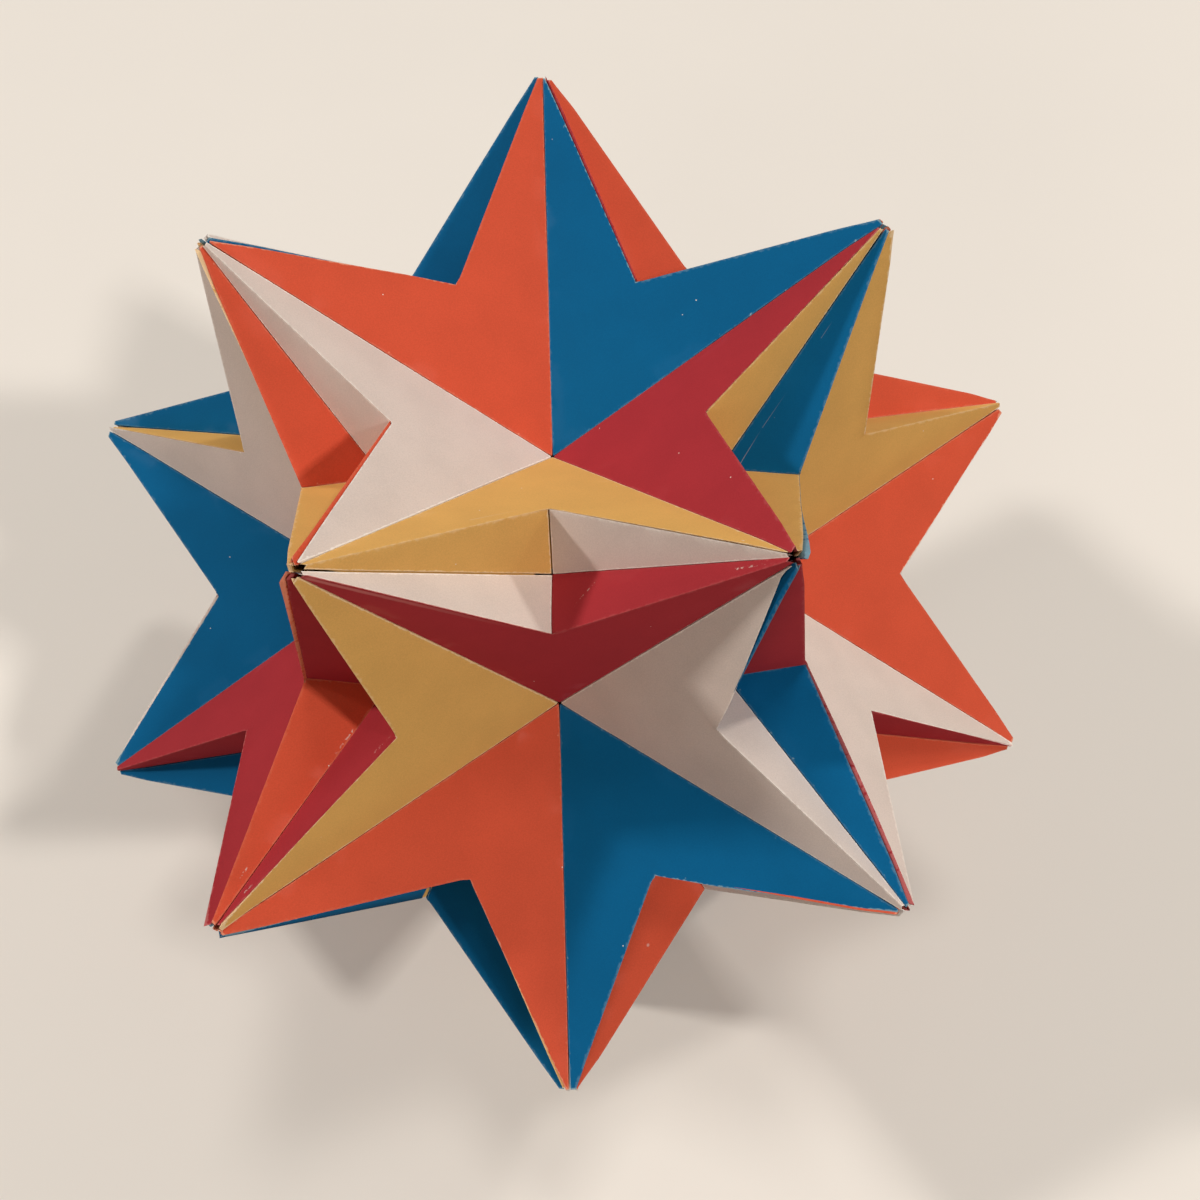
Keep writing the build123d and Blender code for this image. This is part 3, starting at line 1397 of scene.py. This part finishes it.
RAW_EDGES: dict[str, dict[int, RawEdge]] = {
    "white_arms_1": {0: RawEdge(0.65 * MM, 0.35 * MM)},
    "white_arms_2": {0: RawEdge(1.6 * MM, -0.7 * MM)},
    "yellow_arms_1": {
        0: RawEdge(0.75 * MM, 0.15 * MM),
        1: RawEdge(0.0, 0.0, 0.50 * MM),
        2: RawEdge(-0.10 * MM, -0.10 * MM, 0.40 * MM),
    },
    "yellow_arms_2": {0: RawEdge(-0.50 * MM, -0.45 * MM, least=-0.50 * MM)},
    "crimson_arms_1": {
        0: RawEdge(0.35 * MM, 0.30 * MM),
        1: RawEdge(-0.25 * MM, -0.25 * MM),
        2: RawEdge(0.0, 0.0, 0.85 * MM, split_at=0.6, split_length=45.0 * MM),
    },
    "crimson_arms_3": {1: RawEdge(-0.50 * MM, -0.45 * MM, least=-0.50 * MM)},
    "blue_arms_1": {1: RawEdge(0.0, 0.0, 0.90 * MM)},
    "blue_arms_3": {
        1: RawEdge(0.45 * MM, -0.60 * MM, least=-0.35 * MM),
        2: RawEdge(0.0, 0.0, turned_over=3.0 * MM),
    },
    "orange_arms_1": {0: RawEdge(0.60 * MM, -0.50 * MM)},
    "orange_arms_2": {
        0: RawEdge(-0.80 * MM, -0.30 * MM, least=-0.80 * MM),
        2: RawEdge(0.40 * MM, -0.30 * MM),
    },
}


def turned(x: float, y: float, z: float, turn: float) -> Vector:
    """Direction on the white cube of tips, tilted so that a star faces up, then turned about Z."""
    tilt = Matrix.Rotation(math.atan2(1, GOLDEN), 3, "X")
    return Matrix.Rotation(turn, 3, "Z") @ tilt @ Vector((x, y, z))


def upright(centre: Vector, axis: Vector, side: Vector) -> Matrix:
    """Place of a sheet's frame.

    Args:
        centre: the star's centre.
        axis: direction of the frame's Z.
        side: direction that the frame's X leans towards.

    Returns:
        The matrix from the sheet's frame to the row frame.
    """
    z_axis = axis.normalized()
    x_axis = (side - z_axis * side.dot(z_axis)).normalized()
    rotation = Matrix((x_axis, z_axis.cross(x_axis), z_axis)).transposed()
    return Matrix.Translation(centre) @ rotation.to_4x4()


@dataclass
class CardGroup:
    """Like sheets of one colour round one axis, which stand for one node of the frame."""

    node: str
    name: str
    colour: CardColour
    sheet: CardSheet
    place: Matrix
    count: int
    seed: int
    work: HandWork = HandWork()
    raws: dict[int, RawEdge] = field(default_factory=dict)

    def build(self) -> Object:
        """Copies the sheet to its places and joins the copies in one object.

        Returns:
            The finished piece, without its material.
        """
        group = bmesh.new()
        for step in range(self.count):
            copy = self.sheet.hand_made(self.work, self.seed + step, self.raws.get(step))
            spot = self.place @ Matrix.Rotation(step * FULL_TURN / self.count, 4, "Z")
            bmesh.ops.transform(copy, matrix=spot, verts=list(copy.verts))
            for vert in copy.verts:
                vert.co.z = max(vert.co.z, 0.0)
            pour(copy, group)
        return as_object(group, self.name)

    def dress(self, piece: Object, material: Material) -> None:
        """Gives the piece its card and ties it to the frame.

        Args:
            piece: the finished piece.
            material: its card.
        """
        piece.data.materials.append(material)
        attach(piece, "root")
        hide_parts(self.node)


@dataclass
class CardStar:
    """The whole star: the arms round twenty tips and the single walls in thirty pits."""

    shape: StarShape
    seed: int = 100
    seed_step: int = 10
    arms_per_tip: int = 3
    walls_per_pit: int = 2
    tips: tuple = ((-1, 1, 1), (1, -1, 1), (1, 1, -1), (-1, -1, -1))
    pits: tuple = (
        ((0, 0, 1), (1, 0, 0)),
        ((0, 0, -1), (1, 0, 0)),
        ((1, 0, 0), (0, 1, 0)),
        ((-1, 0, 0), (0, 1, 0)),
        ((0, 1, 0), (0, 0, 1)),
        ((0, -1, 0), (0, 0, 1)),
    )

    def groups(self) -> list[CardGroup]:
        """Lists the groups of sheets in the order of the frame's nodes.

        Returns:
            The groups.
        """
        arm = FoldedArm(self.shape).build()
        wall = SingleWall(self.shape).build()
        made = []
        for colour in CardColour:
            for number, (x, y, z) in enumerate(self.tips, start=1):
                axis = turned(x, y, z, colour.turn)
                side = turned(x / GOLDEN, 0, z * GOLDEN, colour.turn)
                node = f"{colour.value}_arms_{number}"
                made.append(self.group(node, colour, arm, axis, side, self.arms_per_tip))
            for number, (pit_axis, pit_side) in enumerate(self.pits, start=1):
                axis = turned(*pit_axis, colour.turn)
                side = turned(*pit_side, colour.turn)
                node = f"{colour.value}_walls_{number}"
                made.append(self.group(node, colour, wall, axis, side, self.walls_per_pit))
        for index, group in enumerate(made):
            group.seed = self.seed + index * self.seed_step
        return made

    def group(
        self, node: str, colour: CardColour, sheet: CardSheet, axis: Vector, side: Vector, count: int
    ) -> CardGroup:
        """Group of sheets for one node.

        Args:
            node: name of the frame's node.
            colour: colour of the card.
            sheet: the sheet that is copied.
            axis: direction of the axis that the copies stand round.
            side: direction that the first copy leans towards.
            count: number of copies.

        Returns:
            The group, with its seed still to be set.
        """
        place = upright(self.shape.centre, axis, side)
        work = HandWork(tuck=TUCKS[colour])
        raws = RAW_EDGES.get(node, {})
        return CardGroup(node, f"{node}_sheets", colour, sheet, place, count, 0, work, raws)

    def build(self) -> None:
        """Builds and dresses every group, and reports it."""
        cards = {
            colour: FINISHES[colour].dress(f"{colour.value}_card", self.shape.centre) for colour in CardColour
        }
        for group in self.groups():
            piece = group.build()
            group.dress(piece, cards[group.colour])
            low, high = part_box(group.node)
            LOG.info("%s: %d faces, node %s to %s", piece.name, len(piece.data.polygons), low, high)


@dataclass(frozen=True)
class Lamp:
    """A square soft lamp: its place from the star's centre, side and power, before it is drawn back."""

    name: str
    spot: tuple[float, float, float]
    side: float
    power: float

    def hang(self, centre: Vector, reach: float, colour: Colour) -> None:
        """Hangs the lamp so that it faces the star.

        Args:
            centre: the star's centre.
            reach: how many times farther the lamp hangs, as much larger and as bright on the star.
            colour: colour of the light.
        """
        lamp = bpy.data.lights.new(self.name, "AREA")
        lamp.shape = "SQUARE"
        lamp.size = self.side * reach
        lamp.energy = self.power * reach**2
        lamp.color = colour
        spot = Vector(self.spot)
        hung = bpy.data.objects.new(self.name, lamp)
        hung.location = centre + spot * reach
        hung.rotation_euler = (-spot).to_track_quat("-Z", "Y").to_euler()
        bpy.context.scene.collection.objects.link(hung)


LAMPS = (
    Lamp("right_front_lamp", (0.64, -0.50, 0.75), 0.08, 5.0),
    Lamp("left_lamp", (-0.88, 0.16, 0.64), 0.09, 5.6),
    Lamp("right_back_lamp", (0.68, 0.45, 0.74), 0.08, 2.95),
    Lamp("left_front_lamp", (-0.46, -0.88, 0.47), 0.30, 0.95),
    Lamp("top_lamp", (0.11, 0.16, 1.08), 0.22, 2.3),
)


@dataclass
class Studio:
    """Pale floor, soft lamps and the camera at the photograph's angle."""

    centre: Vector
    camera_from_centre: Vector = field(
        default_factory=lambda: Vector((5.90 * MM, -141.84 * MM, 212.87 * MM))
    )
    camera_turn_degrees: tuple[float, float, float] = (33.056, 0.586, -1.463)
    lens: float = 41.06
    sensor: float = 36.0
    nearest_shown: float = 0.01
    floor_side: float = 6.0
    floor_fade: tuple[float, float] = (0.5, 1.6)
    floor_colour: Colour = (0.78, 0.76, 0.73)
    floor_light: float = 1.03
    floor_cloud: float = 60.0 * MM
    floor_detail: float = 3.0
    floor_roughness: float = 0.7
    floor_bounce: Colour = (0.34, 0.29, 0.24)
    light_colour: Colour = (1.0, 0.93, 0.85)
    world_strength: float = 0.12
    backdrop_colour: Colour = (0.80, 0.75, 0.69)
    lamp_reach: float = 2.5

    def build(self) -> None:
        """Sets the floor, the lamps, the world and the camera."""
        self.add_floor()
        for lamp in LAMPS:
            lamp.hang(self.centre, self.lamp_reach, self.light_colour)
        self.light_world()
        self.set_camera()

    def add_floor(self) -> None:
        """Lays a plain pale floor under the star, which fades into the backdrop far from it."""
        grid = bmesh.new()
        bmesh.ops.create_grid(grid, x_segments=1, y_segments=1, size=self.floor_side / 2)
        floor = as_object(grid, "floor")
        bench = FinishBench("pale_floor")
        cloud = bench.grain(self.floor_cloud, self.floor_detail)
        light = tuple(part * self.floor_light for part in self.floor_colour)
        pale = bench.blend(cloud, self.floor_colour, light)
        bench.feed(bench.shader.inputs["Base Color"], bench.blend(bench.shown(), self.floor_bounce, pale))
        bench.feed(bench.shader.inputs["Roughness"], self.floor_roughness)
        backdrop = bench.node("ShaderNodeEmission")
        bench.feed(backdrop.inputs["Color"], self.backdrop_colour)
        reach = bench.vectors("LENGTH", bench.spot, Vector()).outputs["Value"]
        far = bench.times(bench.band(reach, *self.floor_fade), bench.shown())
        faded = bench.node("ShaderNodeMixShader")
        bench.feed(faded.inputs["Fac"], far)
        bench.feed(faded.inputs[1], bench.shader.outputs["BSDF"])
        bench.feed(faded.inputs[2], backdrop.outputs["Emission"])
        bench.feed(bench.output.inputs["Surface"], faded.outputs["Shader"])
        floor.data.materials.append(bench.material)

    def light_world(self) -> None:
        """Fills the shadows with even light, and shows a pale backdrop."""
        world = bpy.data.worlds.new("soft_room")
        world.use_nodes = True
        bench = NodeBench(world.node_tree)
        fill = tuple(part * self.world_strength for part in self.light_colour)
        background = bench.node("ShaderNodeBackground")
        output = bench.node("ShaderNodeOutputWorld")
        bench.feed(background.inputs["Color"], bench.blend(bench.shown(), fill, self.backdrop_colour))
        bench.feed(output.inputs["Surface"], background.outputs["Background"])
        bpy.context.scene.world = world

    def set_camera(self) -> None:
        """Places the camera where the photograph was taken."""
        data = bpy.data.cameras.new("photo_camera")
        data.lens = self.lens
        data.sensor_width = self.sensor
        data.clip_start = self.nearest_shown
        camera = bpy.data.objects.new("photo_camera", data)
        camera.location = self.centre + self.camera_from_centre
        camera.rotation_euler = [math.radians(angle) for angle in self.camera_turn_degrees]
        bpy.context.scene.collection.objects.link(camera)
        bpy.context.scene.camera = camera


def main() -> None:
    """Builds the star and its studio."""
    logging.basicConfig(level=logging.INFO, format="%(message)s")
    low, high = CAD_BOX
    shape = StarShape.of_height(high.z - low.z)
    LOG.info("tip spacing %.3f mm", 2 * shape.unit / GOLDEN / MM)
    CardStar(shape).build()
    Studio(shape.centre).build()
    bpy.context.scene.view_settings.view_transform = "Standard"


if __name__ == "__main__":
    main()
